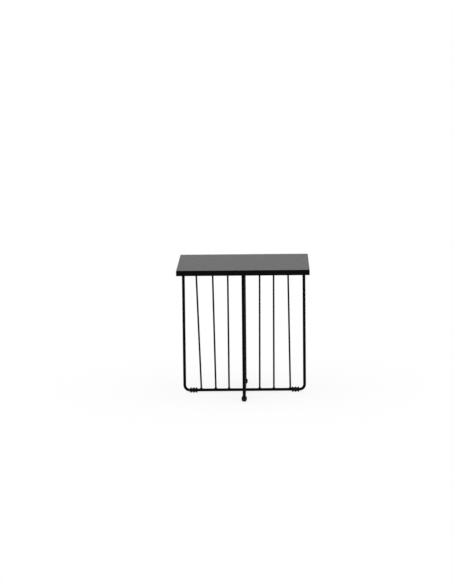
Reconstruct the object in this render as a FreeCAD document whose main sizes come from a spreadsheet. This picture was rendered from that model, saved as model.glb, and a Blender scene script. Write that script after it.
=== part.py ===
import FreeCAD, Part
import math
import os
import Sketcher

# Square steel side table. A folded sheet top is bolted to a cross of flat bars. Below the bars
# two U-shaped rod frames cross at the floor, filled with thin upright wires, on ribbed sleeve feet.
# Millimetres, +Z up, origin on the floor under the middle of the top. The front is -Y.

doc = FreeCAD.newDocument("side_table")

# Driving dimensions
SIZES = (
    ("table_height", 455.0, "floor to the upper face of the top"),
    ("top_width", 450.0, "top, left to right"),
    ("top_depth", 450.0, "top, front to back"),
    ("skirt_height", 18.0, "depth of the folded edge of the top"),
    ("top_sheet", 1.5, "sheet thickness of the top"),
    ("fold_inside", 0.5, "inside radius of the folds and corners of the top"),
    ("bar_width", 20.0, "flat bars under the top"),
    ("bar_thick", 4.0, "flat bars under the top"),
    ("bar_land", 1.5, "bar left beyond the weld of a leg"),
    ("rod_dia", 10.0, "bent rods of the two frames"),
    ("leg_inset", 17.0, "edge of the top to the centre line of a leg"),
    ("bend_radius", 18.0, "centre line of the bends above the floor"),
    ("wire_dia", 6.0, "upright wires"),
    ("foot_wall", 1.7, "sleeve of a foot between its ribs"),
    ("foot_fit", 0.05, "gap between a foot and its rod"),
    ("rib_height", 2.5, "rib of a foot above its sleeve"),
    ("rib_width", 5.2, "rib of a foot along the rod"),
    ("rib_pitch", 10.2, "spacing of the ribs of a foot"),
    ("foot_slit", 1.2, "slit along the upper side of a foot"),
    ("foot_sole", 0.5, "depth of the flat worn under the ribs"),
    ("foot_gap", 0.6, "end of a bend to the nearer foot"),
    ("weld_leg", 3.5, "reach of a weld beyond the round piece that it holds"),
    ("weld_rise", 4.0, "height of a weld along the round piece that it holds"),
    ("weld_crown", 1.2, "weld of the crossing above and below the rails"),
    ("weld_gap", 0.3, "weld of an outer wire to the nearer foot"),
    ("stud_dia", 5.0, "studs under the top"),
    ("stud_tail", 2.0, "stud left below its nut"),
    ("hole_clear", 0.3, "gap all round a stud in its bar and washer"),
    ("thread_fit", 0.05, "gap all round a stud in its nut"),
    ("washer_dia", 10.0, "washers on the studs"),
    ("washer_thick", 1.0, "washers on the studs"),
    ("nut_flats", 8.0, "nuts on the studs, across flats"),
    ("nut_height", 4.0, "nuts on the studs"),
    ("left_outer_foot_shift", 6.0, "set of a wire from even spacing, at the rail"),
    ("left_outer_head_shift", -8.3, "set of a wire from even spacing, at the bar"),
    ("left_middle_foot_shift", 4.1, "set of a wire from even spacing, at the rail"),
    ("left_middle_head_shift", -3.3, "set of a wire from even spacing, at the bar"),
    ("left_inner_foot_shift", -2.0, "set of a wire from even spacing, at the rail"),
    ("left_inner_head_shift", -2.7, "set of a wire from even spacing, at the bar"),
    ("right_inner_foot_shift", 0.1, "set of a wire from even spacing, at the rail"),
    ("right_inner_head_shift", 3.5, "set of a wire from even spacing, at the bar"),
    ("right_middle_foot_shift", -2.8, "set of a wire from even spacing, at the rail"),
    ("right_middle_head_shift", -0.6, "set of a wire from even spacing, at the bar"),
    ("right_outer_foot_shift", 2.0, "set of a wire from even spacing, at the rail"),
    ("right_outer_head_shift", -3.4, "set of a wire from even spacing, at the bar"),
)

sheet = doc.addObject("Spreadsheet::Sheet", "sizes")
for row, (alias, size, meaning) in enumerate(SIZES, start=1):
    sheet.set(f"A{row}", meaning)
    sheet.set(f"B{row}", str(size))
    sheet.setAlias(f"B{row}", alias)
doc.recompute()

# Places worked out from the driving dimensions
ROD_R = "sizes.rod_dia / 2"
ROD_WELD_R = f"({ROD_R} + sizes.weld_leg)"
WIRE_R = "sizes.wire_dia / 2"
WIRE_WELD_R = f"({WIRE_R} + sizes.weld_leg)"
BORE_R = "(sizes.rod_dia / 2 + sizes.foot_fit)"
SLEEVE_R = "(sizes.rod_dia / 2 + sizes.foot_fit + sizes.foot_wall)"
SOLE_R = f"({SLEEVE_R} + sizes.rib_height - sizes.foot_sole)"
FOOT_LENGTH = "(2 * sizes.rib_pitch + sizes.rib_width)"
RAIL_Z = SOLE_R
SHEET_Z = "(sizes.table_height - sizes.top_sheet)"
BAR_Z = f"({SHEET_Z} - sizes.bar_thick)"
LEG_X = "(sizes.top_width / 2 - sizes.leg_inset)"
LEG_Y = "(sizes.top_depth / 2 - sizes.leg_inset)"
BAR_PAST_LEG = f"({ROD_WELD_R} + sizes.bar_land)"
FOOT_FROM_LEG = f"(sizes.bend_radius + sizes.foot_gap + {FOOT_LENGTH} / 2)"
# A weld starts half a rod radius below the crest of its rail, narrows upwards and keeps to the
# upper side of the rail
WELD_SINK = "sizes.rod_dia / 4"
WELD_HALF_WIDTH = "(0.4 * sizes.rod_dia)"
WELD_ON_RAIL = f"({ROD_R} - {WELD_SINK} + sizes.weld_rise)"
WELD_SPREAD = f"sizes.weld_leg * sizes.weld_rise / (sizes.weld_rise + {WELD_SINK})"
OUTER_WIRE_FROM_LEG = (f"({FOOT_FROM_LEG} + {FOOT_LENGTH} / 2 + sizes.weld_gap + {WIRE_R}"
                       f" + {WELD_SPREAD} + sizes.right_outer_foot_shift)")

# The four arms of the cross: name, turn about +Z in degrees and leg distance from the middle
ARMS = (
    ("right", 0, LEG_X),
    ("back", 90, LEG_Y),
    ("left", 180, LEG_X),
    ("front", 270, LEG_Y),
)
# Two arms share one rod and one bar; those of the other two stop against them at the middle
SIDE_ARMS = (ARMS[0], ARMS[2])
HALF_ARMS = (ARMS[1], ARMS[3])
# The wires on one arm, from the middle outwards
WIRE_PLACES = ("inner", "middle", "outer")

nodes = []


def value(expression):
    """Number that an expression over the sheet stands for."""
    return float(sheet.evalExpression(expression))


def bind(item, **expressions):
    """Bind properties of a document object; a double underscore stands for a dot."""
    for name, expression in expressions.items():
        item.setExpression(name.replace("__", "."), expression)
    return item


def arm_steps(turn):
    """Whole steps along X and Y of an arm at a turn about +Z."""
    return round(math.cos(math.radians(turn))), round(math.sin(math.radians(turn)))


def place(item, turn=0, along="0", height="0", across="0"):
    """Put an object at a distance along one arm of the cross and across it, turned to face along it."""
    item.Placement.Rotation = FreeCAD.Rotation(FreeCAD.Vector(0, 0, 1), turn)
    step_x, step_y = arm_steps(turn)
    return bind(item, Placement__Base__x=f"{step_x} * {along} - {step_y} * {across}",
                Placement__Base__y=f"{step_y} * {along} + {step_x} * {across}", Placement__Base__z=height)


def node(item, label):
    """Name a finished piece; the label is also its file name."""
    item.Label = label
    nodes.append(item)
    return item


def new_body(label):
    """Empty body for a piece."""
    return doc.addObject("PartDesign::Body", label + "_body")


def on_plane(body, kind, name, role, x="0", y="0", lift="0"):
    """New object on one of the body's own origin planes, moved in the plane and along its normal."""
    item = body.newObject(kind, name)
    plane = next(feature for feature in body.Origin.OriginFeatures if feature.Role == role)
    item.AttachmentSupport = [(plane, "")]
    item.MapMode = "FlatFace"
    return bind(item, AttachmentOffset__Base__x=x, AttachmentOffset__Base__y=y,
                AttachmentOffset__Base__z=lift)


def sketch_on(body, name, role, lift="0"):
    """Sketch on one of the body's own origin planes, lifted along the plane's normal."""
    return on_plane(body, "Sketcher::SketchObject", name, role, lift=lift)


def dimension(sketch, *constraint, size):
    """Add one sketch dimension bound to an expression."""
    index = sketch.addConstraint(Sketcher.Constraint(*constraint, value(size)))
    sketch.setExpression(f"Constraints[{index}]", size)


def pin(sketch, kind, geometry, point, size):
    """Fix one coordinate of a sketch point from the sketch origin, with a positive dimension."""
    if value(size) < 0:
        dimension(sketch, kind, geometry, point, -1, 1, size=f"-({size})")
    else:
        dimension(sketch, kind, -1, 1, geometry, point, size=size)


def pin_point(sketch, geometry, point, x, y):
    """Fix a sketch point by both coordinates."""
    pin(sketch, "DistanceX", geometry, point, x)
    pin(sketch, "DistanceY", geometry, point, y)


def vector(x, y):
    """Sketch point at two expressions."""
    return FreeCAD.Vector(value(x), value(y), 0)


def line(sketch, start, end):
    """Straight sketch edge between two points given as expressions."""
    return sketch.addGeometry(Part.LineSegment(vector(*start), vector(*end)), False)


def circle(sketch, x, y, radius):
    """Fully dimensioned circle."""
    geometry = sketch.addGeometry(Part.Circle(vector(x, y), FreeCAD.Vector(0, 0, 1), value(radius)), False)
    pin_point(sketch, geometry, 3, x, y)
    dimension(sketch, "Radius", geometry, size=radius)


def polygon(sketch, corners):
    """Closed outline of straight edges through fully dimensioned corners."""
    count = len(corners)
    sides = [line(sketch, corners[i], corners[(i + 1) % count]) for i in range(count)]
    for i, side in enumerate(sides):
        sketch.addConstraint(Sketcher.Constraint("Coincident", side, 2, sides[(i + 1) % count], 1))
        pin_point(sketch, side, 1, *corners[i])


def rectangle(sketch, x_low, x_high, y_low, y_high):
    """Upright rectangle."""
    polygon(sketch, ((x_low, y_low), (x_high, y_low), (x_high, y_high), (x_low, y_high)))


def feature(body, kind, name, sketch, **expressions):
    """PartDesign feature on a sketch."""
    item = body.newObject("PartDesign::" + kind, name)
    item.Profile = sketch
    return bind(item, **expressions)


def cut_through(body, name, sketch):
    """Pocket both ways through the whole body."""
    pocket = feature(body, "Pocket", name, sketch)
    pocket.Midplane = True
    pocket.Type = "ThroughAll"


def primitive(kind, name, **expressions):
    """Part primitive with bound sizes."""
    return bind(doc.addObject("Part::" + kind, name), **expressions)


def cut(name, base, *tools):
    """Take one or more pieces out of a base."""
    for number, tool in enumerate(tools, start=1):
        result = doc.addObject("Part::Cut", f"{name}_cut_{number}")
        result.Base = base
        result.Tool = tool
        base = result
    return base


def fuse(label, items):
    """Join several shapes into one solid."""
    fused = doc.addObject("Part::MultiFuse", label + "_fused")
    fused.Shapes = items
    return fused


def group(label, items):
    """Separate solids of one kind under one name."""
    compound = doc.addObject("Part::Compound", label + "_group")
    compound.Links = items
    return node(compound, label)


# Top: a sheet pan open downwards, with folded edges
def table_top():
    body = node(new_body("table_top"), "table_top")
    outline = sketch_on(body, "top_outline", "XY_Plane", lift="sizes.table_height")
    half_width = "sizes.top_width / 2"
    half_depth = "sizes.top_depth / 2"
    rectangle(outline, "-" + half_width, half_width, "-" + half_depth, half_depth)
    slab = feature(body, "Pad", "top_slab", outline, Length="sizes.skirt_height")
    slab.Reversed = True
    doc.recompute()
    mid_skirt = value("sizes.table_height - sizes.skirt_height / 2")
    edges = enumerate(slab.Shape.Edges, start=1)
    folds = [f"Edge{number}" for number, edge in edges if edge.BoundBox.ZMax > mid_skirt]
    rounding = body.newObject("PartDesign::Fillet", "top_folds")
    rounding.Base = (slab, folds)
    bind(rounding, Radius="sizes.fold_inside + sizes.top_sheet")
    doc.recompute()
    open_face = min(enumerate(rounding.Shape.Faces, start=1), key=lambda item: item[1].CenterOfMass.z)[0]
    shell = body.newObject("PartDesign::Thickness", "top_shell")
    shell.Base = (rounding, [f"Face{open_face}"])
    shell.Reversed = True
    bind(shell, Value="sizes.top_sheet")


# Flat bars: one runs right across, two half bars butt against its sides
def stud_place(leg):
    """Distance of a stud from the middle, half way between the leg and the outer wire."""
    return f"({leg} - {OUTER_WIRE_FROM_LEG} / 2)"


def flat_bar(label, turn, x_low, x_high, stud_places):
    body = node(new_body(label), label)
    outline = sketch_on(body, label + "_outline", "XY_Plane", lift=BAR_Z)
    rectangle(outline, x_low, x_high, "-sizes.bar_width / 2", "sizes.bar_width / 2")
    for stud_x in stud_places:
        circle(outline, stud_x, "0", "sizes.stud_dia / 2 + sizes.hole_clear")
    feature(body, "Pad", label + "_bar", outline, Length="sizes.bar_thick")
    return place(body, turn)


def cross_bars():
    """All bars; returns the bar over each arm."""
    long_end = f"({LEG_X} + {BAR_PAST_LEG})"
    stud_x = stud_place(LEG_X)
    long_bar = flat_bar("cross_bar_long", 0, "-" + long_end, long_end, ("-" + stud_x, stud_x))
    bars = {"left": long_bar, "right": long_bar}
    for name, turn, leg in HALF_ARMS:
        half_end = f"({leg} + {BAR_PAST_LEG})"
        stud_x = stud_place(leg)
        bars[name] = flat_bar("cross_bar_" + name, turn, "sizes.bar_width / 2", half_end, (stud_x,))
    return bars


# Studs, washers and nuts that hold the top on the bars
def top_fixings():
    studs = []
    washers = []
    nuts = []
    washer_z = f"({BAR_Z} - sizes.washer_thick)"
    nut_z = f"({washer_z} - sizes.nut_height)"
    for name, turn, leg in ARMS:
        stud_x = stud_place(leg)
        stud = primitive("Cylinder", "stud_" + name, Radius="sizes.stud_dia / 2",
                         Height=f"{SHEET_Z} - {nut_z} + sizes.stud_tail")
        studs.append(place(stud, turn, stud_x, f"{nut_z} - sizes.stud_tail"))
        disc = primitive("Cylinder", "washer_disc_" + name, Radius="sizes.washer_dia / 2",
                         Height="sizes.washer_thick")
        place(disc, turn, stud_x, washer_z)
        hole = primitive("Cylinder", "washer_hole_" + name, Radius="sizes.stud_dia / 2 + sizes.hole_clear",
                         Height="sizes.washer_thick")
        place(hole, turn, stud_x, washer_z)
        washers.append(cut("washer_" + name, disc, hole))
        hexagon = primitive("Prism", "nut_hexagon_" + name, Circumradius="sizes.nut_flats / sqrt(3)",
                            Height="sizes.nut_height")
        place(hexagon, turn, stud_x, nut_z)
        thread = primitive("Cylinder", "nut_thread_" + name, Radius="sizes.stud_dia / 2 + sizes.thread_fit",
                           Height="sizes.nut_height")
        place(thread, turn, stud_x, nut_z)
        nuts.append(cut("nut_" + name, hexagon, thread))
    group("top_studs", studs)
    group("stud_washers", washers)
    group("stud_nuts", nuts)


# Bent rods: each leg runs down from its bar and bends into a rail along the floor
def bend(sketch, side, leg):
    """Quarter bend from the leg on one side (1 or -1) to the rail."""
    centre = vector(f"{side} * ({leg} - sizes.bend_radius)", f"{RAIL_Z} + sizes.bend_radius")
    round_bend = Part.Circle(centre, FreeCAD.Vector(0, 0, 1), value("sizes.bend_radius"))
    turn = (-90, 0) if side > 0 else (180, 270)
    arc = Part.ArcOfCircle(round_bend, math.radians(turn[0]), math.radians(turn[1]))
    geometry = sketch.addGeometry(arc, False)
    dimension(sketch, "Radius", geometry, size="sizes.bend_radius")
    return geometry


def rod_along(body, label, path, leg):
    """Sweep the round rod down a path that starts at the head of the +X leg."""
    section = sketch_on(body, label + "_section", "XY_Plane", lift=BAR_Z)
    circle(section, leg, "0", ROD_R)
    pipe = feature(body, "AdditivePipe", label + "_rod", section)
    pipe.Spine = (path, [])


def leg_and_bend(path, side, leg):
    """Upright leg and its bend; returns the bend and the number of its end on the rail."""
    upright_x = f"{side} * {leg}"
    upright = line(path, (upright_x, BAR_Z), (upright_x, f"{RAIL_Z} + sizes.bend_radius"))
    round_bend = bend(path, side, leg)
    leg_end, rail_end = (2, 1) if side > 0 else (1, 2)
    path.addConstraint(Sketcher.Constraint("Vertical", upright))
    path.addConstraint(Sketcher.Constraint("Tangent", upright, 2, round_bend, leg_end))
    pin_point(path, upright, 1, upright_x, BAR_Z)
    return round_bend, rail_end


def side_rod():
    """Left and right legs with the rail between them, one rod bent twice."""
    label = "side_frame"
    body = new_body(label)
    path = sketch_on(body, label + "_path", "XZ_Plane")
    bend_place = f"({LEG_X} - sizes.bend_radius)"
    right_bend, right_end = leg_and_bend(path, 1, LEG_X)
    rail = line(path, (bend_place, RAIL_Z), ("-" + bend_place, RAIL_Z))
    left_bend, left_end = leg_and_bend(path, -1, LEG_X)
    path.addConstraint(Sketcher.Constraint("Horizontal", rail))
    path.addConstraint(Sketcher.Constraint("Tangent", rail, 1, right_bend, right_end))
    path.addConstraint(Sketcher.Constraint("Tangent", rail, 2, left_bend, left_end))
    pin(path, "DistanceY", rail, 1, RAIL_Z)
    rod_along(body, label, path, LEG_X)
    return body


def half_rod(label, turn, leg):
    """Front or back leg; its rail is coped and welded onto the rail of the side frame."""
    body = new_body(label)
    path = sketch_on(body, label + "_path", "XZ_Plane")
    round_bend, rail_end = leg_and_bend(path, 1, leg)
    rail = line(path, (f"{leg} - sizes.bend_radius", RAIL_Z), (WELD_SINK, RAIL_Z))
    path.addConstraint(Sketcher.Constraint("Horizontal", rail))
    path.addConstraint(Sketcher.Constraint("Tangent", rail, 1, round_bend, rail_end))
    pin_point(path, rail, 2, WELD_SINK, RAIL_Z)
    rod_along(body, label, path, leg)
    weld = on_plane(body, "PartDesign::AdditiveCone", label + "_weld", "YZ_Plane", y=RAIL_Z, lift=WELD_SINK)
    bind(weld, Radius1=ROD_WELD_R, Radius2=ROD_R, Height=WELD_ON_RAIL)
    # The cope over the other rail, and the weld kept low above and below the rails
    cope = sketch_on(body, label + "_cope", "XZ_Plane")
    circle(cope, "0", RAIL_Z, ROD_R)
    weld_end = f"({WELD_SINK} + {WELD_ON_RAIL})"
    for side in ("-", ""):
        near = f"({RAIL_Z} + {side}({ROD_R} + sizes.weld_crown))"
        far = f"({RAIL_Z} + {side}({ROD_WELD_R} + sizes.weld_crown))"
        rectangle(cope, "0", weld_end, near, far)
    cut_through(body, label + "_coped", cope)
    return place(body, turn)


# Upright wires: each stands on a weld that spreads over the rail, and ends under the bar above
def stand(item, tilt, x, y, height):
    """Put an upright object at a place, tilted to the right."""
    item.Placement.Rotation = FreeCAD.Rotation(FreeCAD.Vector(0, 1, 0), value(tilt))
    bind(item, Placement__Base__x=x, Placement__Base__y=y, Placement__Base__z=height,
         Placement__Rotation__Angle=tilt)


def wire(label, foot_x, foot_y, lean, bar):
    """Wire that leans to the right by a distance over its height; returns the weld under it."""
    height = f"({BAR_Z} - {RAIL_Z})"
    tilt = f"atan({lean} / {height})"
    weld = primitive("Cone", label + "_weld", Radius1=WIRE_WELD_R, Radius2=WIRE_R, Height=WELD_ON_RAIL)
    stand(weld, tilt, f"{foot_x} + {WELD_SINK} * sin({tilt})", foot_y,
          f"{RAIL_Z} + {WELD_SINK} * cos({tilt})")
    weld_top = f"({WELD_SINK} + {WELD_ON_RAIL})"
    body = new_body(label)
    section = sketch_on(body, label + "_section", "XY_Plane", lift=weld_top)
    circle(section, "0", "0", WIRE_R)
    # It runs a little way into the bar before the bar is taken out of it
    feature(body, "Pad", label + "_rod", section,
            Length=f"hypot({lean}; {height}) - {weld_top} + sizes.bar_thick / 4")
    stand(body, tilt, foot_x, foot_y, RAIL_Z)
    node(cut(label, body, bar), label)
    return weld


def arm_wires(name, turn, leg, bar):
    """The wires of one arm; returns their welds, cut to the width of the rail."""
    pitch = f"(({leg} - {OUTER_WIRE_FROM_LEG}) / {len(WIRE_PLACES)})"
    step_x, step_y = arm_steps(turn)
    welds = []
    for number, where in enumerate(WIRE_PLACES, start=1):
        foot_x = f"{step_x * number} * {pitch}"
        foot_y = f"{step_y * number} * {pitch}"
        lean = "0"
        # The side frame's wires stand unevenly, each with its own shift to the right at foot and head
        if step_x:
            foot_shift = f"sizes.{name}_{where}_foot_shift"
            foot_x = f"({foot_x} + {foot_shift})"
            lean = f"(sizes.{name}_{where}_head_shift - {foot_shift})"
        welds.append(wire(f"wire_{name}_{where}", foot_x, foot_y, lean, bar))
    strip = primitive("Box", f"weld_strip_{name}", Length=leg, Width=f"2 * {WELD_HALF_WIDTH}",
                      Height=f"{WELD_SINK} + {WELD_ON_RAIL}")
    place(strip, turn, height=RAIL_Z, across=f"-{WELD_HALF_WIDTH}")
    narrow = doc.addObject("Part::Common", f"welds_{name}_narrow")
    narrow.Base = fuse(f"welds_{name}", welds)
    narrow.Tool = strip
    return narrow


def frames(bars):
    """Rods and their wires; the welds under the wires are one solid with the rod."""
    welds = [arm_wires(name, turn, leg, bars[name]) for name, turn, leg in SIDE_ARMS]
    node(fuse("side_frame", [side_rod()] + welds), "side_frame")
    for name, turn, leg in HALF_ARMS:
        label = name + "_frame_leg"
        welds = arm_wires(name, turn, leg, bars[name])
        node(fuse(label, [half_rod(label, turn, leg), welds]), label)


# Feet: ribbed sleeves, slit along the top so that they spring over the rail
def foot(name, turn, leg):
    label = "foot_" + name
    body = node(new_body(label), label)
    profile = sketch_on(body, label + "_profile", "XZ_Plane")
    crest = f"({SLEEVE_R} + sizes.rib_height)"
    corners = []
    for middle in ("-sizes.rib_pitch", "0", "sizes.rib_pitch"):
        low = f"{middle} - sizes.rib_width / 2"
        high = f"{middle} + sizes.rib_width / 2"
        corners += [(low, SLEEVE_R), (low, crest), (high, crest), (high, SLEEVE_R)]
    # The end ribs stand flush with the ends of the sleeve, so the outline ends at the bore there
    corners[0] = (corners[0][0], BORE_R)
    corners[-1] = (corners[-1][0], BORE_R)
    polygon(profile, corners)
    sleeve = feature(body, "Revolution", label + "_sleeve", profile)
    sleeve.ReferenceAxis = (profile, ["H_Axis"])
    # Slit above the rod, and the flat under the ribs that stands on the floor
    reach = f"({crest} + sizes.rib_height)"
    cuts = sketch_on(body, label + "_cuts", "YZ_Plane")
    rectangle(cuts, "-sizes.foot_slit / 2", "sizes.foot_slit / 2", "0", reach)
    rectangle(cuts, f"-{reach}", reach, f"-{reach}", f"-{SOLE_R}")
    cut_through(body, label + "_trimmed", cuts)
    place(body, turn, f"({leg} - {FOOT_FROM_LEG})", RAIL_Z)


# The whole table
table_top()
bars_by_arm = cross_bars()
top_fixings()
frames(bars_by_arm)
for arm, angle, leg_place in ARMS:
    foot(arm, angle, leg_place)
doc.recompute()

# Nothing is written unless every object and every piece is sound
for item in doc.Objects:
    if any(flag in item.State for flag in ("Invalid", "Error")):
        raise RuntimeError(f"{item.Label} failed: {item.State}")
for item in nodes:
    if item.Shape.isNull() or not item.Shape.isValid() or not item.Shape.Solids:
        raise RuntimeError(f"{item.Label} has no sound solid")

os.makedirs("parts", exist_ok=True)
for item in nodes:
    item.Shape.exportStep(f"parts/{item.Label}.step")
    print(f"{item.Label}: {len(item.Shape.Solids)} solids, {item.Shape.Volume:.1f} mm3")
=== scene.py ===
import math

import bmesh
import bpy
from bpy.props import FloatProperty, FloatVectorProperty, PointerProperty
from mathutils import Matrix, Quaternion, Vector


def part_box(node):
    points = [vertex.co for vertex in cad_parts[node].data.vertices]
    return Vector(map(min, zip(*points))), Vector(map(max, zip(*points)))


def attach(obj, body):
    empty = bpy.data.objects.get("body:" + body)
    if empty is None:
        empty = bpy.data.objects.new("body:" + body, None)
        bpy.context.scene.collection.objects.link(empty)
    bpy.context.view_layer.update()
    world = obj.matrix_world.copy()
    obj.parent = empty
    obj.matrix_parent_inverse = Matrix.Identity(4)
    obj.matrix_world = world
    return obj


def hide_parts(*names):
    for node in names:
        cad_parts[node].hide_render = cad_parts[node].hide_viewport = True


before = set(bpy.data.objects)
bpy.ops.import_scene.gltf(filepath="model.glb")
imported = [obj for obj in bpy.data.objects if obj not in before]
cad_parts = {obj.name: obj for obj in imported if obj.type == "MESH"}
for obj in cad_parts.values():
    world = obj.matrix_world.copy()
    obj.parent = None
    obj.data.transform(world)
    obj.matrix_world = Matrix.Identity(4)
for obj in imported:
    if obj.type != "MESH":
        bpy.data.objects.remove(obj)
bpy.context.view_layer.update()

bl_info = {
    "name": "Wire-Frame Side Table",
    "version": (1, 0, 0),
    "blender": (4, 5, 0),
    "location": "View3D > Sidebar > Side Table",
    "description": "Models a square black side table on two crossing rod frames, and its studio",
    "category": "Object",
}

MM = 0.001
BODY = "root"

# Turn of each arm of the plus-shaped frame about the table's upright axis
ARMS = {"right": 0, "back": 90, "left": 180, "front": -90}
WIRE_PLACES = ("inner", "middle", "outer")

# How finely round shapes are divided
ROD_SEGMENTS = 40
WIRE_SEGMENTS = 24
BEND_STEPS = 20
FOLD_SEGMENTS = 6
EDGE_SEGMENTS = 3
RIB_SEGMENTS = 4
BEAD_SEGMENTS = 40
BEAD_RINGS = 8
FOOT_STEPS = 72
HOLE_SEGMENTS = 32
THREAD_STEPS = 20
NUT_SEGMENTS = 60

# Points closer than this become one
MERGE_DISTANCE = 0.002 * MM
# A cut takes in points this near to its plane
CUT_DISTANCE = 0.0005 * MM
# Places closer than this count as one place
SAME_PLACE = 0.01 * MM
# Edges that turn by more degrees than this are broken
SHARP_EDGE = 60

# A weld bead's face: hollow above zero, swelled below it; and its unevenness as a share of its reach
FILLET_FACE = 0.55
CROSSING_FACE = -0.4
BEAD_RIPPLE = 0.05
# Share of a rail's half width that a wire's weld covers, and how far the two crossing beads pass each other
RAIL_COVER = 0.93
BEAD_OVERLAP = 0.1 * MM
# A run of weld: spacing of its ripples, steps along each, their height as a share of its radius,
# and how much of its radius is gone at its ends
RIPPLE_SPACING = 1.4 * MM
RIPPLE_STEPS = 4
RIPPLE_HEIGHT = 0.09
RUN_TAPER = 0.98

# A stud's thread and point, as depths in shares of the pitch
THREAD_DEPTH = 0.61
POINT_DEPTH = 0.9
# Width of a nut's round end face as a share of its flats
NUT_FACE = 0.94

# Real sizes of the finishes' patterns in millimetres
COAT_CLOUD = 70.0
COAT_HAZE = 24.0
COAT_PEEL = 1.8
RUBBER_BLOOM = 7.0
RUBBER_GRAIN = 0.7
ZINC_CRYSTAL = 0.9
ZINC_SMEAR = 2.5
# Heights of their bumps
PEEL_HEIGHT = 0.2 * MM
GRAIN_HEIGHT = 0.12 * MM
SMEAR_HEIGHT = 0.03 * MM
# How far their roughness strays from its mean
COAT_STRAY = 0.04
RUBBER_STRAY = 0.08
ZINC_STRAY = 0.1

# Cells along each side of the floor
FLOOR_CELLS = 8
# Width of the camera's sensor in millimetres
SENSOR_WIDTH = 36.0


def node_box(node):
    """Lowest and highest corner of a CAD node as vectors."""
    low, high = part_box(node)
    return Vector(low), Vector(high)


# Places read from the frame
TOP_LOW, TOP_HIGH = node_box("table_top")
BAR_LOW, BAR_HIGH = node_box("cross_bar_long")
FRAME_LOW, FRAME_HIGH = node_box("side_frame")
WIRE_LOW, WIRE_HIGH = node_box("wire_back_inner")
FOOT_LOW, FOOT_HIGH = node_box("foot_right")
STUD_LOW, STUD_HIGH = node_box("top_studs")
WASHER_LOW, WASHER_HIGH = node_box("stud_washers")
NUT_LOW, NUT_HIGH = node_box("stud_nuts")
WIRE_RADIUS = (WIRE_HIGH.x - WIRE_LOW.x) / 2
SHEET = TOP_HIGH.z - BAR_HIGH.z


def linear(hex_colour):
    """sRGB hex colour as linear red, green and blue."""
    channels = [int(hex_colour[i:i + 2], 16) / 255 for i in (1, 3, 5)]
    return tuple(c / 12.92 if c <= 0.04045 else ((c + 0.055) / 1.055) ** 2.4 for c in channels)


def length(name, description, metres):
    """Length property."""
    return FloatProperty(name=name, description=description, default=metres, min=0.0, unit="LENGTH",
                         precision=5)


def colour(name, description, hex_colour):
    """Colour property with its default as sRGB hex."""
    return FloatVectorProperty(name=name, description=description, default=linear(hex_colour),
                               subtype="COLOR", min=0.0, max=1.0)


def angle(name, description, degrees):
    """Angle property with its default in degrees."""
    return FloatProperty(name=name, description=description, default=math.radians(degrees),
                         subtype="ANGLE")


def factor(name, description, default):
    """Property between nothing and all."""
    return FloatProperty(name=name, description=description, default=default, min=0.0, max=1.0,
                         subtype="FACTOR")


def index(name, description, default):
    """Index of refraction."""
    return FloatProperty(name=name, description=description, default=default, min=1.0, max=2.5)


class SideTableSizes(bpy.types.PropertyGroup):
    """Sizes of the pieces, beside those that the CAD boxes give"""

    rod_diameter: length("Rod", "Diameter of the bent rods", 10.0 * MM)
    bend_radius: length("Bend", "Centre-line radius of the bends", 18.0 * MM)
    sheet: length("Sheet", "Thickness of the folded top", SHEET)
    fold_radius: length("Fold", "Outside radius of the folds of the top", 2.0 * MM)
    edge_break: length("Edge", "Rounding of cut edges under the coating", 0.4 * MM)
    bar_corner: length("Bar corner", "Rounding of the corners of the flat bars", 1.5 * MM)
    weld_reach: length("Weld reach", "Reach of a weld beyond the rod that it holds", 3.5 * MM)
    weld_rise: length("Weld rise", "Height of a weld along the rod that it holds", 4.0 * MM)
    weld_crown: length("Weld crown", "Height of a weld over the crest of the crossing rails", 1.2 * MM)
    rib_height: length("Rib height", "Height of a foot's ribs above its sleeve", 2.5 * MM)
    rib_width: length("Rib width", "Width of a foot's ribs at half their height", 5.2 * MM)
    rib_slope: length("Rib slope", "How much wider a rib is at its root than at half its height", 1.2 * MM)
    rib_round: length("Rib round", "Rounding of the ribs' crests", 1.3 * MM)
    foot_slit: length("Foot slit", "Width of the slit along the upper side of a foot", 1.2 * MM)
    foot_fit: length("Foot fit", "Gap between a foot and its rod", 0.05 * MM)
    mould_line: length("Mould line", "Height of the seam that a foot's mould leaves", 0.12 * MM)
    stud_diameter: length("Stud", "Thread diameter of the studs under the top", 5.0 * MM)
    thread_pitch: length("Thread pitch", "Pitch of the studs' thread", 0.8 * MM)
    thread_fit: length("Thread fit", "Gap between a stud and its nut", 0.05 * MM)
    hole_clearance: length("Hole clearance", "Gap all round a stud in its bar and washer", 0.3 * MM)


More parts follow.
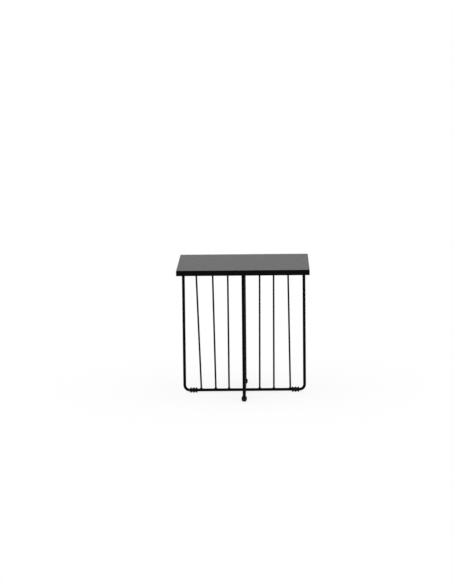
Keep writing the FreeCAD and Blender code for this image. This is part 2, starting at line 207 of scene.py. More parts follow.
class SideTableFinish(bpy.types.PropertyGroup):
    """Colours and gloss of the finishes"""

    coat_dark: colour("Coat, thick", "Black powder coat where it lies thick", "#050505")
    coat_light: colour("Coat, thin", "Black powder coat where it lies thin", "#0b0a09")
    top_roughness: factor("Top roughness", "Mean roughness of the satin coat on the top", 0.3)
    top_ior: index("Top IOR", "Index of refraction of the satin coat on the top", 1.11)
    top_peel: factor("Top peel", "Strength of the orange peel on the top", 0.4)
    frame_roughness: factor("Frame roughness", "Mean roughness of the matt coat on the frames", 0.5)
    frame_ior: index("Frame IOR", "Index of refraction of the matt coat on the frames", 1.11)
    frame_peel: factor("Frame peel", "Strength of the orange peel on the frames", 0.7)
    rubber_dark: colour("Rubber", "Black rubber of the feet", "#050504")
    rubber_light: colour("Rubber bloom", "Black rubber where it has bloomed", "#0f0e0c")
    rubber_roughness: factor("Rubber roughness", "Mean roughness of the rubber", 0.7)
    rubber_ior: index("Rubber IOR", "Index of refraction of the rubber", 1.2)
    rubber_grain: factor("Rubber grain", "Strength of the grain that the blasted mould leaves", 0.6)
    zinc_dark: colour("Zinc, dark", "Zinc plate between its crystals", "#9ea3a6")
    zinc_light: colour("Zinc, light", "Zinc plate on its crystals", "#c4c8c9")
    zinc_roughness: factor("Zinc roughness", "Mean roughness of the zinc plate", 0.36)
    zinc_smear: factor("Zinc smear", "Strength of the uneven plating", 0.2)


class SideTableStage(bpy.types.PropertyGroup):
    """Studio and camera"""

    floor_size: length("Floor", "Side of the square floor", 400.0)
    floor_gap: length("Floor gap", "Gap between the soles and the floor", 0.1 * MM)
    floor_paint: colour("Floor paint", "White floor paint, as it lights the table", "#e6e6e6")
    floor_shadow: factor("Floor shadow", "Share of the floor's white that a shadow can take", 0.15)
    room_light: factor("Room light", "Strength of the even light from all round", 0.65)
    lamp_light: factor("Lamp light", "Share of the floor's white that the soft overhead lamp gives", 0.35)
    lamp_spread: angle("Lamp spread", "How wide the overhead lamp is", 90.0)
    lamp_tilt: angle("Lamp tilt", "Lean of the overhead lamp to the camera's side", 20.0)
    camera_distance: length("Distance", "Camera to the middle of the table", 9.13)
    camera_aim: length("Aim", "Height that the camera looks at", 0.225)
    camera_elevation: angle("Elevation", "Camera above the horizon", 8.59)
    camera_azimuth: angle("Azimuth", "Camera round the table from the front, to the right", 0.63)
    camera_roll: angle("Roll", "Turn of the camera about its line of sight", -0.568)
    camera_lens: FloatProperty(name="Lens", description="Focal length on a 36 mm sensor",
                               default=162.65, unit="CAMERA")
    camera_shift: FloatVectorProperty(name="Shift", description="Sideways and upward shift",
                                      size=2, default=(-0.0310, 0.0617))


# Mesh helpers

def circle(bm, segments, radius, place):
    """Add a ring of edges round an axis; returns its edges, in one order on every run."""
    made = bmesh.ops.create_circle(bm, cap_ends=False, segments=segments, radius=radius, matrix=place)
    return list(dict.fromkeys(edge for vert in made["verts"] for edge in vert.link_edges))


def grow(bm, loop, move):
    """Extrude a loop of edges and put each new vertex where move() says; returns the new loop."""
    made = bmesh.ops.extrude_edge_only(bm, edges=loop)["geom"]
    verts = {item for item in made if isinstance(item, bmesh.types.BMVert)}
    for vert in verts:
        vert.co = move(vert.co)
    edges = [item for item in made if isinstance(item, bmesh.types.BMEdge)]
    return [edge for edge in edges if verts.issuperset(edge.verts)]


def turn(bm, loop, centre, axis, turn_angle, steps, rise=0.0):
    """Spin a loop of edges about an axis, rising along it as it goes; returns the last loop."""
    made = bmesh.ops.spin(bm, geom=loop, cent=centre, axis=axis, dvec=Vector(axis) * rise / steps,
                          angle=turn_angle, steps=steps, use_merge=False, use_duplicate=False)
    return [item for item in made["geom_last"] if isinstance(item, bmesh.types.BMEdge)]


def chain(bm, points, closed):
    """Add edges from point to point; returns them."""
    verts = [bm.verts.new(point) for point in points]
    ends = zip(verts, verts[1:] + verts[:1] if closed else verts[1:])
    return [bm.edges.new(pair) for pair in ends]


def cap(bm, loop):
    """Close each loop of edges with a face."""
    bmesh.ops.edgeloop_fill(bm, edges=loop)


def bevel(bm, geom, radius, segments, affect="EDGES"):
    """Round edges or corners off."""
    bmesh.ops.bevel(bm, geom=geom, offset=radius, offset_type="OFFSET", segments=segments, profile=0.5,
                    affect=affect, clamp_overlap=True, material=-1)


def trim(bm, point, outward):
    """Cut off what lies beyond a plane; returns the cut's edges."""
    made = bmesh.ops.bisect_plane(bm, geom=bm.verts[:] + bm.edges[:] + bm.faces[:], dist=CUT_DISTANCE,
                                  plane_co=point, plane_no=outward, clear_outer=True)
    return [item for item in made["geom_cut"] if isinstance(item, bmesh.types.BMEdge)]


def creases(bm, degrees):
    """Edges whose two faces meet at more than an angle."""
    limit = math.radians(degrees)
    return [edge for edge in bm.edges if len(edge.link_faces) == 2 and edge.calc_face_angle() > limit]


def arm_turn(arm):
    """Turn from the right arm to another one."""
    return Matrix.Rotation(math.radians(ARMS[arm]), 4, "Z")


def finish_piece(name, bm, material, nodes=(), keep_sharp=40, flat_sides=False):
    """Turn a bmesh into a piece that rides on the table and stands for CAD nodes. Edges that turn by
    more degrees than keep_sharp stay sharp."""
    bmesh.ops.remove_doubles(bm, verts=bm.verts, dist=MERGE_DISTANCE)
    bmesh.ops.recalc_face_normals(bm, faces=bm.faces)
    if any(not edge.is_manifold for edge in bm.edges):
        raise RuntimeError(f"{name} has open edges")
    for face in bm.faces:
        face.smooth = True
    for edge in creases(bm, keep_sharp):
        edge.smooth = False
    mesh = bpy.data.meshes.new(name)
    bm.to_mesh(mesh)
    bm.free()
    mesh.materials.append(material)
    piece = bpy.data.objects.new(name, mesh)
    bpy.context.scene.collection.objects.link(piece)
    if flat_sides:
        piece.modifiers.new("Flat sides", "WEIGHTED_NORMAL").keep_sharp = True
    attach(piece, BODY)
    if nodes:
        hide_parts(*nodes)
    return piece


# Finishes

def add_node(tree, kind, inputs=None, **settings):
    """Add a node with its settings; each input takes a value, or a link where it is given a socket."""
    node = tree.nodes.new(kind)
    for name, value in settings.items():
        setattr(node, name, value)
    for key, value in (inputs or {}).items():
        if isinstance(value, bpy.types.NodeSocket):
            tree.links.new(value, node.inputs[key])
        else:
            node.inputs[key].default_value = value
    return node


def finish_named(name, build):
    """Material of that name, built on first use."""
    material = bpy.data.materials.get(name)
    if material is None:
        material = bpy.data.materials.new(name)
        material.use_nodes = True
        material.node_tree.nodes.clear()
        shader = build(material.node_tree, bpy.context.scene.side_table_finish)
        add_node(material.node_tree, "ShaderNodeOutputMaterial", {"Surface": shader.outputs[0]})
    return material


def per_metre(millimetres):
    """Scale of a texture whose pattern has that real size."""
    return 1 / (millimetres * MM)


# The two colour inputs and the colour output of a colour mix node, which share their names with others
MIX_A = 6
MIX_B = 7
MIX_COLOUR = 2


def build_powder_coat(tree, finish, roughness, ior, peel_strength):
    """Polyester powder, sprayed on steel and baked. It gives the eye an even black: nearly no gleam
    head-on, a pale veil at a grazing angle, and a fine orange peel close by. The real peel is about
    0.6 mm wide, and it is drawn three times as wide, and deeper, so that it shows."""
    place = add_node(tree, "ShaderNodeTexCoord").outputs["Object"]
    cloud = add_node(tree, "ShaderNodeTexNoise", {
        "Vector": place, "Scale": per_metre(COAT_CLOUD), "Detail": 4.0})
    mix = add_node(tree, "ShaderNodeMix", {
        "Factor": cloud.outputs["Fac"], MIX_A: (*finish.coat_dark, 1), MIX_B: (*finish.coat_light, 1)},
        data_type="RGBA")
    haze = add_node(tree, "ShaderNodeTexNoise", {
        "Vector": place, "Scale": per_metre(COAT_HAZE), "Detail": 3.0})
    gloss = add_node(tree, "ShaderNodeMapRange", {
        "Value": haze.outputs["Fac"], "To Min": roughness - COAT_STRAY, "To Max": roughness + COAT_STRAY})
    peel = add_node(tree, "ShaderNodeTexNoise", {
        "Vector": place, "Scale": per_metre(COAT_PEEL), "Detail": 2.0})
    bump = add_node(tree, "ShaderNodeBump", {
        "Height": peel.outputs["Fac"], "Strength": peel_strength, "Distance": PEEL_HEIGHT})
    return add_node(tree, "ShaderNodeBsdfPrincipled", {
        "Base Color": mix.outputs[MIX_COLOUR], "Roughness": gloss.outputs["Result"],
        "Normal": bump.outputs["Normal"], "IOR": ior})


def build_rubber(tree, finish):
    """Black rubber, moulded in a blasted tool. It gives the eye a dull, slightly brown black with a
    fine grain, paler where the rubber has bloomed. The real grain is about 0.2 mm wide, and it is drawn
    coarser so that it shows."""
    place = add_node(tree, "ShaderNodeTexCoord").outputs["Object"]
    bloom = add_node(tree, "ShaderNodeTexNoise", {
        "Vector": place, "Scale": per_metre(RUBBER_BLOOM), "Detail": 5.0})
    mix = add_node(tree, "ShaderNodeMix", {
        "Factor": bloom.outputs["Fac"], MIX_A: (*finish.rubber_dark, 1),
        MIX_B: (*finish.rubber_light, 1)}, data_type="RGBA")
    gloss = add_node(tree, "ShaderNodeMapRange", {
        "Value": bloom.outputs["Fac"], "To Min": finish.rubber_roughness - RUBBER_STRAY,
        "To Max": finish.rubber_roughness + RUBBER_STRAY})
    grain = add_node(tree, "ShaderNodeTexVoronoi", {"Vector": place, "Scale": per_metre(RUBBER_GRAIN)})
    bump = add_node(tree, "ShaderNodeBump", {
        "Height": grain.outputs["Distance"], "Strength": finish.rubber_grain, "Distance": GRAIN_HEIGHT})
    return add_node(tree, "ShaderNodeBsdfPrincipled", {
        "Base Color": mix.outputs[MIX_COLOUR], "Roughness": gloss.outputs["Result"],
        "Normal": bump.outputs["Normal"], "IOR": finish.rubber_ior})


def build_zinc(tree, finish):
    """Steel fixings, electroplated with zinc. It gives the eye a pale, slightly blue metal with small
    crystals and a soft gleam. Real crystals are finer than 0.1 mm, and they are drawn coarser so that
    they show."""
    place = add_node(tree, "ShaderNodeTexCoord").outputs["Object"]
    crystals = add_node(tree, "ShaderNodeTexVoronoi", {"Vector": place, "Scale": per_metre(ZINC_CRYSTAL)})
    mix = add_node(tree, "ShaderNodeMix", {
        "Factor": crystals.outputs["Color"], MIX_A: (*finish.zinc_dark, 1),
        MIX_B: (*finish.zinc_light, 1)}, data_type="RGBA")
    smear = add_node(tree, "ShaderNodeTexNoise", {
        "Vector": place, "Scale": per_metre(ZINC_SMEAR), "Detail": 4.0})
    gloss = add_node(tree, "ShaderNodeMapRange", {
        "Value": smear.outputs["Fac"], "To Min": finish.zinc_roughness - ZINC_STRAY,
        "To Max": finish.zinc_roughness + ZINC_STRAY})
    bump = add_node(tree, "ShaderNodeBump", {
        "Height": smear.outputs["Fac"], "Strength": finish.zinc_smear, "Distance": SMEAR_HEIGHT})
    return add_node(tree, "ShaderNodeBsdfPrincipled", {
        "Base Color": mix.outputs[MIX_COLOUR], "Roughness": gloss.outputs["Result"],
        "Normal": bump.outputs["Normal"], "Metallic": 1.0})


def top_coat():
    """Satin powder coat of the top."""
    return finish_named("black_satin_powder_coat", lambda tree, finish: build_powder_coat(
        tree, finish, finish.top_roughness, finish.top_ior, finish.top_peel))


def frame_coat():
    """Matt powder coat of the frames and bars."""
    return finish_named("black_matt_powder_coat", lambda tree, finish: build_powder_coat(
        tree, finish, finish.frame_roughness, finish.frame_ior, finish.frame_peel))


def rubber():
    """Rubber of the feet."""
    return finish_named("black_moulded_rubber", build_rubber)


def zinc():
    """Zinc plate of the fixings."""
    return finish_named("zinc_plated_steel", build_zinc)


# Places that several pieces share

def rod_radius():
    """Half the diameter of the bent rods."""
    return bpy.context.scene.side_table_sizes.rod_diameter / 2


def rail_height():
    """Height of the rails' centre line."""
    return FRAME_LOW.z + rod_radius()


def leg_distance():
    """Middle of the table to the centre line of a leg."""
    return FRAME_HIGH.x - rod_radius()


def stud_distance():
    """Middle of the table to the centre line of a stud."""
    return STUD_HIGH.x - bpy.context.scene.side_table_sizes.stud_diameter / 2


def wire_line(arm, place):
    """Foot on the rail's centre line and head under the bar, seen as if on the right arm."""
    turned = arm_turn(arm).inverted()
    points = [turned @ vert.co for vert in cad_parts[f"wire_{arm}_{place}"].data.vertices]
    middle = (min(p.z for p in points) + max(p.z for p in points)) / 2
    ends = []
    for end in ([p for p in points if p.z < middle], [p for p in points if p.z > middle]):
        ends.append(Vector([(min(p[i] for p in end) + max(p[i] for p in end)) / 2 for i in range(3)]))
    low, high = ends
    slope = (high - low) / (high.z - low.z)
    return low + slope * (rail_height() - low.z), low + slope * (BAR_LOW.z - low.z)


def rail_seat(across):
    """Drop of a rail's surface below its crest, at a distance across it."""
    radius = rod_radius()
    return math.sqrt(max(0.0, radius ** 2 - across ** 2)) - radius


def flat_seat(across):
    """A flat bar's surface doesn't drop."""
    return 0.0


# Pieces

class SIDETABLE_OT_top(bpy.types.Operator):
    """Fold the sheet-steel top: a shallow pan, open below"""

    bl_idname = "side_table.top"
    bl_label = "Top"
    bl_options = {"REGISTER", "UNDO"}

    def execute(self, context):
        sizes = context.scene.side_table_sizes
        bm = bmesh.new()
        bmesh.ops.create_cube(bm, size=1.0, matrix=Matrix.LocRotScale(
            (TOP_LOW + TOP_HIGH) / 2, None, TOP_HIGH - TOP_LOW))
        under = min(bm.faces, key=lambda face: face.calc_center_median().z)
        bmesh.ops.delete(bm, geom=[under], context="FACES_ONLY")
        folds = [edge for edge in bm.edges if len(edge.link_faces) == 2]
        bevel(bm, folds, sizes.fold_radius, FOLD_SEGMENTS)
        bmesh.ops.recalc_face_normals(bm, faces=bm.faces)
        bmesh.ops.solidify(bm, geom=bm.faces[:], thickness=sizes.sheet)
        near_rim = TOP_LOW.z + sizes.sheet / 2
        rim = [edge for edge in creases(bm, SHARP_EDGE) if max(vert.co.z for vert in edge.verts) < near_rim]
        bevel(bm, rim, sizes.edge_break, EDGE_SEGMENTS)
        finish_piece("coated_top", bm, top_coat(), ["table_top"], flat_sides=True)
        return {"FINISHED"}


class SIDETABLE_OT_rods(bpy.types.Operator):
    """Bend the rods: one side frame, and two half frames that end in a saddle on its rail"""

    bl_idname = "side_table.rods"
    bl_label = "Rods"
    bl_options = {"REGISTER", "UNDO"}

    def execute(self, context):
        sizes = context.scene.side_table_sizes
        bend = sizes.bend_radius
        radius = rod_radius()
        rail = rail_height()
        leg = leg_distance()
        down_turn = (0, 1, 0)

        def leg_and_bend(bm):
            """Run a rod down from its bar and round its bend; returns the loop that the rail starts at."""
            loop = circle(bm, ROD_SEGMENTS, radius, Matrix.Translation((leg, 0, BAR_LOW.z)))
            cap(bm, loop)
            loop = grow(bm, loop, lambda co: Vector((co.x, co.y, rail + bend)))
            return turn(bm, loop, (leg - bend, 0, rail + bend), down_turn, math.pi / 2, BEND_STEPS)

        bm = bmesh.new()
        loop = grow(bm, leg_and_bend(bm), lambda co: Vector((bend - leg, co.y, co.z)))
        loop = turn(bm, loop, (bend - leg, 0, rail + bend), down_turn, math.pi / 2, BEND_STEPS)
        cap(bm, grow(bm, loop, lambda co: Vector((co.x, co.y, BAR_LOW.z))))
        finish_piece("coated_side_frame", bm, frame_coat(), ["side_frame"])

        for arm in ("front", "back"):
            bm = bmesh.new()
            loop = leg_and_bend(bm)
            cap(bm, grow(bm, loop, lambda co: Vector((radius + rail_seat(co.z - rail), co.y, co.z))))
            bmesh.ops.transform(bm, matrix=arm_turn(arm), verts=bm.verts)
            finish_piece(f"coated_{arm}_frame", bm, frame_coat(), [f"{arm}_frame_leg"])
        return {"FINISHED"}


class SIDETABLE_OT_wires(bpy.types.Operator):
    """Stand three wires on each arm of the frames"""

    bl_idname = "side_table.wires"
    bl_label = "Wires"
    bl_options = {"REGISTER", "UNDO"}

    def execute(self, context):
        crest = rail_height() + rod_radius()
        for arm in ARMS:
            for place in WIRE_PLACES:
                foot, head = wire_line(arm, place)
                bm = bmesh.new()
                loop = circle(bm, WIRE_SEGMENTS, WIRE_RADIUS, Matrix.Translation(foot))
                for vert in bm.verts:
                    vert.co.z = crest + rail_seat(vert.co.y)
                cap(bm, loop)
                lean = head - foot
                cap(bm, grow(bm, loop, lambda co: Vector((co.x + lean.x, co.y + lean.y, head.z))))
                bmesh.ops.transform(bm, matrix=arm_turn(arm), verts=bm.verts)
                finish_piece(f"coated_wire_{arm}_{place}", bm, frame_coat(),
                             [f"wire_{arm}_{place}"])
        return {"FINISHED"}


def weld_bead(bm, place, inner, rim_across, seat, hollow=FILLET_FACE, ripple=BEAD_RIPPLE):
    """Add a weld bead round a rod whose axis is the bead's own Z. seat() drops it onto what lies below,
    and rim_across is its reach where that surface falls away."""
    sizes = bpy.context.scene.side_table_sizes
    rim_along = inner + sizes.weld_reach
    before = set(bm.verts)
    first = circle(bm, BEAD_SEGMENTS, inner, Matrix())
    loop = first
    for vert in {vert for edge in first for vert in edge.verts}:
        vert.co.z = seat(vert.co.y) + sizes.weld_rise
    last_reach = (inner, inner)
    for ring in range(1, BEAD_RINGS + 1):
        part = ring / BEAD_RINGS
        spread = hollow * (1 - math.cos(part * math.pi / 2)) + (1 - hollow) * part
        drop = hollow * math.sin(part * math.pi / 2) + (1 - hollow) * part
        reach = (inner + (rim_along - inner) * spread, inner + (rim_across - inner) * spread)

        def settle(co):
            """Carry a point of the last ring on to this one."""
            around = math.atan2(co.y / last_reach[1], co.x / last_reach[0])
            # Two waves of unlike length leave uneven lumps round the bead
            lumps = math.sin(5 * around + 1.3) * math.sin(3 * around + 6 * part)
            x = reach[0] * math.cos(around) * (1 + ripple * part * lumps)
            y = reach[1] * math.sin(around)
            return Vector((x, y, seat(y) + sizes.weld_rise * (1 - drop)))

        loop = grow(bm, loop, settle)
        last_reach = reach
    cap(bm, first)
    cap(bm, loop)
    bmesh.ops.transform(bm, matrix=place, verts=[vert for vert in bm.verts if vert not in before])


def weld_run(bm, start, end, radius):
    """Add a rippled run of weld along a straight joint, half sunk into it."""
    along = end - start
    steps = RIPPLE_STEPS * round(along.length / RIPPLE_SPACING)
    facing = along.to_track_quat("Z", "Y").to_matrix().to_4x4()
    first = circle(bm, BEAD_SEGMENTS // 2, radius, Matrix.Translation(start) @ facing)
    loop = first

    def size(step):
        """Share of the full radius at a step: full along most of the run, and drawn in at its ends."""
        part = 2 * step / steps - 1
        ripple = 1 + RIPPLE_HEIGHT * math.cos(2 * math.pi * step / RIPPLE_STEPS)
        return math.sqrt(1 - RUN_TAPER * part ** 6) * ripple

    for vert in {vert for edge in first for vert in edge.verts}:
        vert.co = start + (vert.co - start) * size(0)
    for step in range(1, steps + 1):
        old = start + along * (step - 1) / steps
        new = start + along * step / steps
        loop = grow(bm, loop, lambda co: new + (co - old) * size(step) / size(step - 1))
    cap(bm, first)
    cap(bm, loop)


class SIDETABLE_OT_welds(bpy.types.Operator):
    """Weld the wires to the rails and bars, the legs to the bars, and the rails where they cross"""

    bl_idname = "side_table.welds"
    bl_label = "Welds"
    bl_options = {"REGISTER", "UNDO"}

    def execute(self, context):
        sizes = context.scene.side_table_sizes
        radius = rod_radius()
        rail = rail_height()
        over_crest = RAIL_COVER * radius
        upside_down = Matrix.Rotation(math.pi, 4, "X")
        along_rail = Matrix.Rotation(math.pi / 2, 4, "Y") @ Matrix.Rotation(math.pi / 2, 4, "Z")

        low = bmesh.new()
        high = bmesh.new()
        for arm in ARMS:
            turned = arm_turn(arm)
            for place in WIRE_PLACES:
                foot, head = wire_line(arm, place)
                slope = (head - foot) / (head.z - foot.z)
                crest = foot + slope * radius
                weld_bead(low, turned @ Matrix.Translation(crest), WIRE_RADIUS, over_crest, rail_seat)
                weld_bead(high, turned @ Matrix.Translation(head) @ upside_down, WIRE_RADIUS,
                          WIRE_RADIUS + sizes.weld_reach, flat_seat)
            leg_head = Matrix.Translation((leg_distance(), 0, BAR_LOW.z)) @ upside_down
            weld_bead(high, turned @ leg_head, radius, radius + sizes.weld_reach, flat_seat)
        # The two crossing beads are plain and pass each other a little, so that they meet over the crest
        beside = Matrix.Translation((radius - BEAD_OVERLAP, 0, rail)) @ along_rail
        for arm in ("front", "back"):
            weld_bead(low, arm_turn(arm) @ beside, radius, radius + sizes.weld_crown, rail_seat,
                      hollow=CROSSING_FACE, ripple=0.0)
        half_run = BAR_HIGH.y - sizes.bar_corner
        for joint in (-BAR_HIGH.y, BAR_HIGH.y):
            start = Vector((-half_run, joint, BAR_LOW.z))
            end = Vector((half_run, joint, BAR_LOW.z))
            weld_run(high, start, end, sizes.weld_reach / 2)
        finish_piece("coated_rail_welds", low, frame_coat())
        finish_piece("coated_head_welds", high, frame_coat())
        return {"FINISHED"}


class SIDETABLE_OT_bars(bpy.types.Operator):
    """Cut the flat bars under the top, with a hole for each stud"""

    bl_idname = "side_table.bars"
    bl_label = "Bars"
    bl_options = {"REGISTER", "UNDO"}

    def execute(self, context):
        sizes = context.scene.side_table_sizes
        hole = sizes.stud_diameter / 2 + sizes.hole_clearance
        for name, arms in (("long", ("right", "left")), ("front", ("front",)), ("back", ("back",))):
            low, high = node_box(f"cross_bar_{name}")
            centre = (low + high) / 2
            centre.z = low.z
            bm = bmesh.new()
            bmesh.ops.create_grid(bm, x_segments=1, y_segments=1, size=0.5,
                                  matrix=Matrix.LocRotScale(centre, None, high - low))
            bevel(bm, bm.verts[:], sizes.bar_corner, EDGE_SEGMENTS, affect="VERTICES")
            bmesh.ops.delete(bm, geom=bm.faces[:], context="FACES_ONLY")
            for arm in arms:
                stud = arm_turn(arm) @ Vector((stud_distance(), 0, low.z))
                circle(bm, HOLE_SEGMENTS, hole, Matrix.Translation(stud))
            bmesh.ops.triangle_fill(bm, use_beauty=True, use_dissolve=False, edges=bm.edges[:])
            made = bmesh.ops.extrude_face_region(bm, geom=bm.faces[:])["geom"]
            raised = [item for item in made if isinstance(item, bmesh.types.BMVert)]
            bmesh.ops.translate(bm, verts=raised, vec=(0, 0, high.z - low.z))
            bmesh.ops.recalc_face_normals(bm, faces=bm.faces)
            bevel(bm, creases(bm, SHARP_EDGE), sizes.edge_break, EDGE_SEGMENTS)
            finish_piece(f"coated_bar_{name}", bm, frame_coat(), [f"cross_bar_{name}"],
                         flat_sides=True)
        return {"FINISHED"}


class SIDETABLE_OT_feet(bpy.types.Operator):
    """Mould the ribbed sleeve feet, slit along their upper side"""

    bl_idname = "side_table.feet"
    bl_label = "Feet"
    bl_options = {"REGISTER", "UNDO"}

    def execute(self, context):
        sizes = context.scene.side_table_sizes
        rail = rail_height()
        bore = rod_radius() + sizes.foot_fit
        crest = (FOOT_HIGH.y - FOOT_LOW.y) / 2
        sleeve = crest - sizes.rib_height
        half_crest = (sizes.rib_width - sizes.rib_slope) / 2
        half_root = (sizes.rib_width + sizes.rib_slope) / 2
        first_rib = FOOT_LOW.x + sizes.rib_width / 2
        last_rib = FOOT_HIGH.x - sizes.rib_width / 2
        ribs = (first_rib, (first_rib + last_rib) / 2, last_rib)
        half_slit = sizes.foot_slit / 2
        start = math.asin(half_slit / bore)
        axis_point = Vector((0, 0, rail))
        half_up_rib = rail + sleeve + sizes.rib_height / 2
        in_wall = (bore + sleeve) / 2

        profile = [(FOOT_LOW.x, bore), (FOOT_LOW.x, sleeve)]
        for rib in ribs:
            profile += [(max(rib - half_root, FOOT_LOW.x), sleeve), (rib - half_crest, crest),
                        (rib + half_crest, crest), (min(rib + half_root, FOOT_HIGH.x), sleeve)]
        profile += [(FOOT_HIGH.x, sleeve), (FOOT_HIGH.x, bore)]
        points = []
        for x, r in profile:
            point = Vector((x, 0, rail + r))
            if not points or (point - points[-1]).length > SAME_PLACE:
                points.append(point)

        for arm in ARMS:
            bm = bmesh.new()
            chain(bm, points, closed=True)
            crests = [vert for vert in bm.verts if vert.co.z > half_up_rib]
            bevel(bm, crests, sizes.rib_round, RIB_SEGMENTS, affect="VERTICES")
            bmesh.ops.rotate(bm, verts=bm.verts, cent=axis_point, matrix=Matrix.Rotation(start, 3, "X"))
            loop = bm.edges[:]
            last = turn(bm, loop, axis_point, (1, 0, 0), 2 * (math.pi - start), FOOT_STEPS)
            for wall in (loop, last):
                for vert in {vert for edge in wall for vert in edge.verts}:
                    vert.co.y = math.copysign(half_slit, vert.co.y)
                cap(bm, wall)
            for vert in bm.verts:
                if abs(vert.co.z - rail) < SAME_PLACE and abs(vert.co.y) > in_wall:
                    vert.co.y += math.copysign(sizes.mould_line, vert.co.y)
            cap(bm, trim(bm, (0, 0, FOOT_LOW.z), (0, 0, -1)))
            bmesh.ops.transform(bm, matrix=arm_turn(arm), verts=bm.verts)
            finish_piece(f"moulded_foot_{arm}", bm, rubber(), [f"foot_{arm}"])
        return {"FINISHED"}


def ring_stack(bm, rings):
    """Add a closed ring-shaped solid round the Z axis from rings of (height, radius at an angle)."""
    height, radius = rings[0]
    first = circle(bm, NUT_SEGMENTS, 1.0, Matrix())

    def lay(co):
        """Put a point at its ring's height and reach."""
        around = math.atan2(co.y, co.x)
        reach = radius(around)
        return Vector((reach * math.cos(around), reach * math.sin(around), height))

    for vert in bm.verts:
        vert.co = lay(vert.co)
    loop = first
    for height, radius in rings[1:]:
        loop = grow(bm, loop, lay)
    bmesh.ops.bridge_loops(bm, edges=first + loop)


def on_each_stud(bm):
    """Move what was made round the Z axis to the stud on the right arm, and repeat it on the others."""
    bmesh.ops.translate(bm, verts=bm.verts, vec=(stud_distance(), 0, 0))
    made = bm.verts[:] + bm.edges[:] + bm.faces[:]
    for arm in ("back", "left", "front"):
        copy = bmesh.ops.duplicate(bm, geom=made)["geom"]
        bmesh.ops.transform(bm, matrix=arm_turn(arm),
                            verts=[item for item in copy if isinstance(item, bmesh.types.BMVert)])


class SIDETABLE_OT_fixings(bpy.types.Operator):
    """Make the studs, washers and nuts that hold the top on its bars"""

    bl_idname = "side_table.fixings"
    bl_label = "Fixings"
    bl_options = {"REGISTER", "UNDO"}

    def execute(self, context):
        sizes = context.scene.side_table_sizes
        self.studs(sizes)
        self.washers(sizes)
        self.nuts(sizes)
        return {"FINISHED"}

    def studs(self, sizes):
        """Threaded studs with a chamfered lower end."""
        pitch = sizes.thread_pitch
        outer = sizes.stud_diameter / 2
        root = outer - THREAD_DEPTH * pitch
        point = outer - POINT_DEPTH * pitch
        chamfer = 0.6 * MM
        # One more turn at each end is cut off again
        turns = math.ceil((STUD_HIGH.z - STUD_LOW.z) / pitch) + 2
        start = STUD_LOW.z - pitch
        # Radius, and height as a share of the pitch
        thread = ((root, 0.0), (root, 0.12), (outer, 0.5), (outer, 0.62), (root, 1.0))
        bm = bmesh.new()
        loop = chain(bm, [(r, 0, start + part * pitch) for r, part in thread], closed=False)
        turn(bm, loop, (0, 0, 0), (0, 0, 1), turns * 2 * math.pi, turns * THREAD_STEPS,
             rise=turns * pitch)
        bmesh.ops.remove_doubles(bm, verts=bm.verts, dist=MERGE_DISTANCE)
        cap(bm, trim(bm, (0, 0, STUD_HIGH.z), (0, 0, 1)))
        end = trim(bm, (0, 0, STUD_LOW.z + chamfer), (0, 0, -1))
        cap(bm, grow(bm, end, lambda co: Vector((*(co.xy.normalized() * point), STUD_LOW.z))))
        on_each_stud(bm)
        finish_piece("zinc_studs", bm, zinc(), ["top_studs"], keep_sharp=50)

    def washers(self, sizes):
        """Washers with broken edges."""
        low, high = WASHER_LOW.z, WASHER_HIGH.z
        outer = WASHER_HIGH.x - stud_distance()
        hole = sizes.stud_diameter / 2 + sizes.hole_clearance
        edge = 0.15 * MM
        shape = ((low, hole + edge), (low, outer - edge), (low + edge, outer), (high - edge, outer),
                 (high, outer - edge), (high, hole + edge), (high - edge, hole), (low + edge, hole))
        bm = bmesh.new()
        ring_stack(bm, [(z, lambda around, r=r: r) for z, r in shape])
        on_each_stud(bm)
        finish_piece("zinc_washers", bm, zinc(), ["stud_washers"], keep_sharp=30)

    def nuts(self, sizes):
        """Six-sided nuts with chamfered corners and countersunk bores."""
        low, high = NUT_LOW.z, NUT_HIGH.z
        bore = sizes.stud_diameter / 2 + sizes.thread_fit
        countersink = 0.35 * MM
        sixth = math.pi / 3
        flat = (NUT_HIGH.x - stud_distance()) * math.cos(sixth / 2)
        face = NUT_FACE * flat
        # A cone of 30 degrees cuts the corners off, and rings at these depths follow it
        cone = math.tan(sixth)
        steps = [part * MM for part in (0.0, 0.12, 0.25, 0.37, 0.5)]

        def hexagon(limit):
            """Outline of the nut, cut round where it passes a limit."""
            return lambda around: min(limit, flat / math.cos(around % sixth - sixth / 2))

        rings = [(low, lambda around: bore + countersink)]
        rings += [(low + step, hexagon(face + cone * step)) for step in steps]
        rings += [(high - step, hexagon(face + cone * step)) for step in reversed(steps)]
        rings += [(high, lambda around: bore + countersink), (high - countersink, lambda around: bore),
                  (low + countersink, lambda around: bore)]
        bm = bmesh.new()
        ring_stack(bm, rings)
        on_each_stud(bm)
        finish_piece("zinc_nuts", bm, zinc(), ["stud_nuts"], keep_sharp=25)


# Studio

def seen_directly(tree):
    """One for rays that show the backdrop itself: from the camera, a mirror or glass; else nothing."""
    rays = add_node(tree, "ShaderNodeLightPath").outputs
    glass = add_node(tree, "ShaderNodeMath", {0: rays["Is Glossy Ray"], 1: rays["Is Transmission Ray"]},
                     operation="MAXIMUM")
    return add_node(tree, "ShaderNodeMath", {0: rays["Is Camera Ray"], 1: glass.outputs[0]},
                    operation="MAXIMUM").outputs[0]


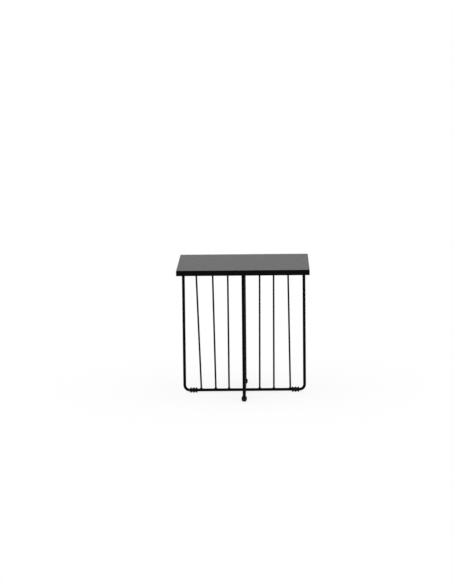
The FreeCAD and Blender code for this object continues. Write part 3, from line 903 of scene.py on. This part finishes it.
class SIDETABLE_OT_stage(bpy.types.Operator):
    """Set up the white floor, the room light, the overhead lamp and the camera"""

    bl_idname = "side_table.stage"
    bl_label = "Stage"
    bl_options = {"REGISTER", "UNDO"}

    def execute(self, context):
        stage = context.scene.side_table_stage
        context.scene.view_settings.view_transform = "Standard"
        self.floor(context.scene, stage)
        self.room(context.scene, stage)
        self.lamp(context.scene, stage)
        self.camera(context.scene, stage)
        return {"FINISHED"}

    def floor(self, scene, stage):
        """Floor that looks white, darkens a little in shadow, and lights the table as matt paint does."""
        material = bpy.data.materials.new("white_studio_floor_paint")
        material.use_nodes = True
        tree = material.node_tree
        tree.nodes.clear()
        direct = seen_directly(tree)
        seen_paint = (stage.floor_shadow, stage.floor_shadow, stage.floor_shadow, 1)
        paint = add_node(tree, "ShaderNodeMix", {
            "Factor": direct, MIX_A: (*stage.floor_paint, 1), MIX_B: seen_paint}, data_type="RGBA")
        matt = add_node(tree, "ShaderNodeBsdfDiffuse", {"Color": paint.outputs[MIX_COLOUR]})
        # The glow adds what the lit paint lacks of white
        missing = 1.0 - stage.floor_shadow * (stage.room_light + stage.lamp_light)
        glow = add_node(tree, "ShaderNodeMath", {0: direct, 1: missing}, operation="MULTIPLY")
        lift = add_node(tree, "ShaderNodeEmission", {"Strength": glow.outputs[0]})
        both = add_node(tree, "ShaderNodeAddShader", {0: matt.outputs[0], 1: lift.outputs[0]})
        add_node(tree, "ShaderNodeOutputMaterial", {"Surface": both.outputs[0]})
        bm = bmesh.new()
        bmesh.ops.create_grid(bm, x_segments=FLOOR_CELLS, y_segments=FLOOR_CELLS, size=stage.floor_size / 2,
                              matrix=Matrix.Translation((0, 0, FOOT_LOW.z - stage.floor_gap)))
        mesh = bpy.data.meshes.new("studio_floor")
        bm.to_mesh(mesh)
        bm.free()
        mesh.materials.append(material)
        floor = bpy.data.objects.new("studio_floor", mesh)
        scene.collection.objects.link(floor)

    def room(self, scene, stage):
        """Even light from all round, which looks white."""
        world = bpy.data.worlds.new("white_room")
        world.use_nodes = True
        scene.world = world
        tree = world.node_tree
        tree.nodes.clear()
        strength = add_node(tree, "ShaderNodeMapRange", {
            "Value": seen_directly(tree), "To Min": stage.room_light, "To Max": 1.0})
        light = add_node(tree, "ShaderNodeBackground", {
            "Color": (1, 1, 1, 1), "Strength": strength.outputs["Result"]})
        add_node(tree, "ShaderNodeOutputWorld", {"Surface": light.outputs[0]})

    def lamp(self, scene, stage):
        """Wide soft lamp overhead."""
        light = bpy.data.lights.new("overhead_softbox", "SUN")
        light.angle = stage.lamp_spread
        light.energy = stage.lamp_light * math.pi / math.cos(stage.lamp_tilt)
        lamp = bpy.data.objects.new("overhead_softbox", light)
        lamp.rotation_euler = (stage.lamp_tilt, 0, 0)
        scene.collection.objects.link(lamp)

    def camera(self, scene, stage):
        """Camera at the photograph's viewing angle."""
        lens = bpy.data.cameras.new("photo_camera")
        lens.sensor_width = SENSOR_WIDTH
        lens.lens = stage.camera_lens
        lens.shift_x, lens.shift_y = stage.camera_shift
        lens.clip_end = stage.floor_size
        camera = bpy.data.objects.new("photo_camera", lens)
        flat = math.cos(stage.camera_elevation)
        back = Vector((math.sin(stage.camera_azimuth) * flat, -math.cos(stage.camera_azimuth) * flat,
                       math.sin(stage.camera_elevation)))
        camera.location = Vector((0, 0, stage.camera_aim)) + back * stage.camera_distance
        camera.rotation_mode = "QUATERNION"
        roll = Quaternion((0, 0, 1), stage.camera_roll)
        camera.rotation_quaternion = back.to_track_quat("Z", "Y") @ roll
        scene.collection.objects.link(camera)
        scene.camera = camera


class SIDETABLE_PT_build(bpy.types.Panel):
    """Lists the table's pieces and its stage"""

    bl_idname = "SIDETABLE_PT_build"
    bl_label = "Side Table"
    bl_space_type = "VIEW_3D"
    bl_region_type = "UI"
    bl_category = "Side Table"

    def draw(self, context):
        column = self.layout.column(align=True)
        for operator in OPERATORS:
            column.operator(operator.bl_idname)
        for title, group in (("Sizes", context.scene.side_table_sizes),
                             ("Finish", context.scene.side_table_finish),
                             ("Stage", context.scene.side_table_stage)):
            box = self.layout.box()
            box.label(text=title)
            for name in group.bl_rna.properties.keys():
                if name not in ("rna_type", "name"):
                    box.prop(group, name)


GROUPS = {"side_table_sizes": SideTableSizes, "side_table_finish": SideTableFinish,
          "side_table_stage": SideTableStage}
OPERATORS = (SIDETABLE_OT_top, SIDETABLE_OT_rods, SIDETABLE_OT_wires, SIDETABLE_OT_welds,
             SIDETABLE_OT_bars, SIDETABLE_OT_feet, SIDETABLE_OT_fixings, SIDETABLE_OT_stage)


def register():
    for name, group in GROUPS.items():
        bpy.utils.register_class(group)
        setattr(bpy.types.Scene, name, PointerProperty(type=group))
    for item in (*OPERATORS, SIDETABLE_PT_build):
        bpy.utils.register_class(item)


def unregister():
    for item in reversed((*OPERATORS, SIDETABLE_PT_build)):
        bpy.utils.unregister_class(item)
    for name, group in GROUPS.items():
        delattr(bpy.types.Scene, name)
        bpy.utils.unregister_class(group)


def main():
    register()
    bpy.ops.side_table.top()
    bpy.ops.side_table.rods()
    bpy.ops.side_table.wires()
    bpy.ops.side_table.welds()
    bpy.ops.side_table.bars()
    bpy.ops.side_table.feet()
    bpy.ops.side_table.fixings()
    bpy.ops.side_table.stage()


if __name__ == "__main__":
    main()
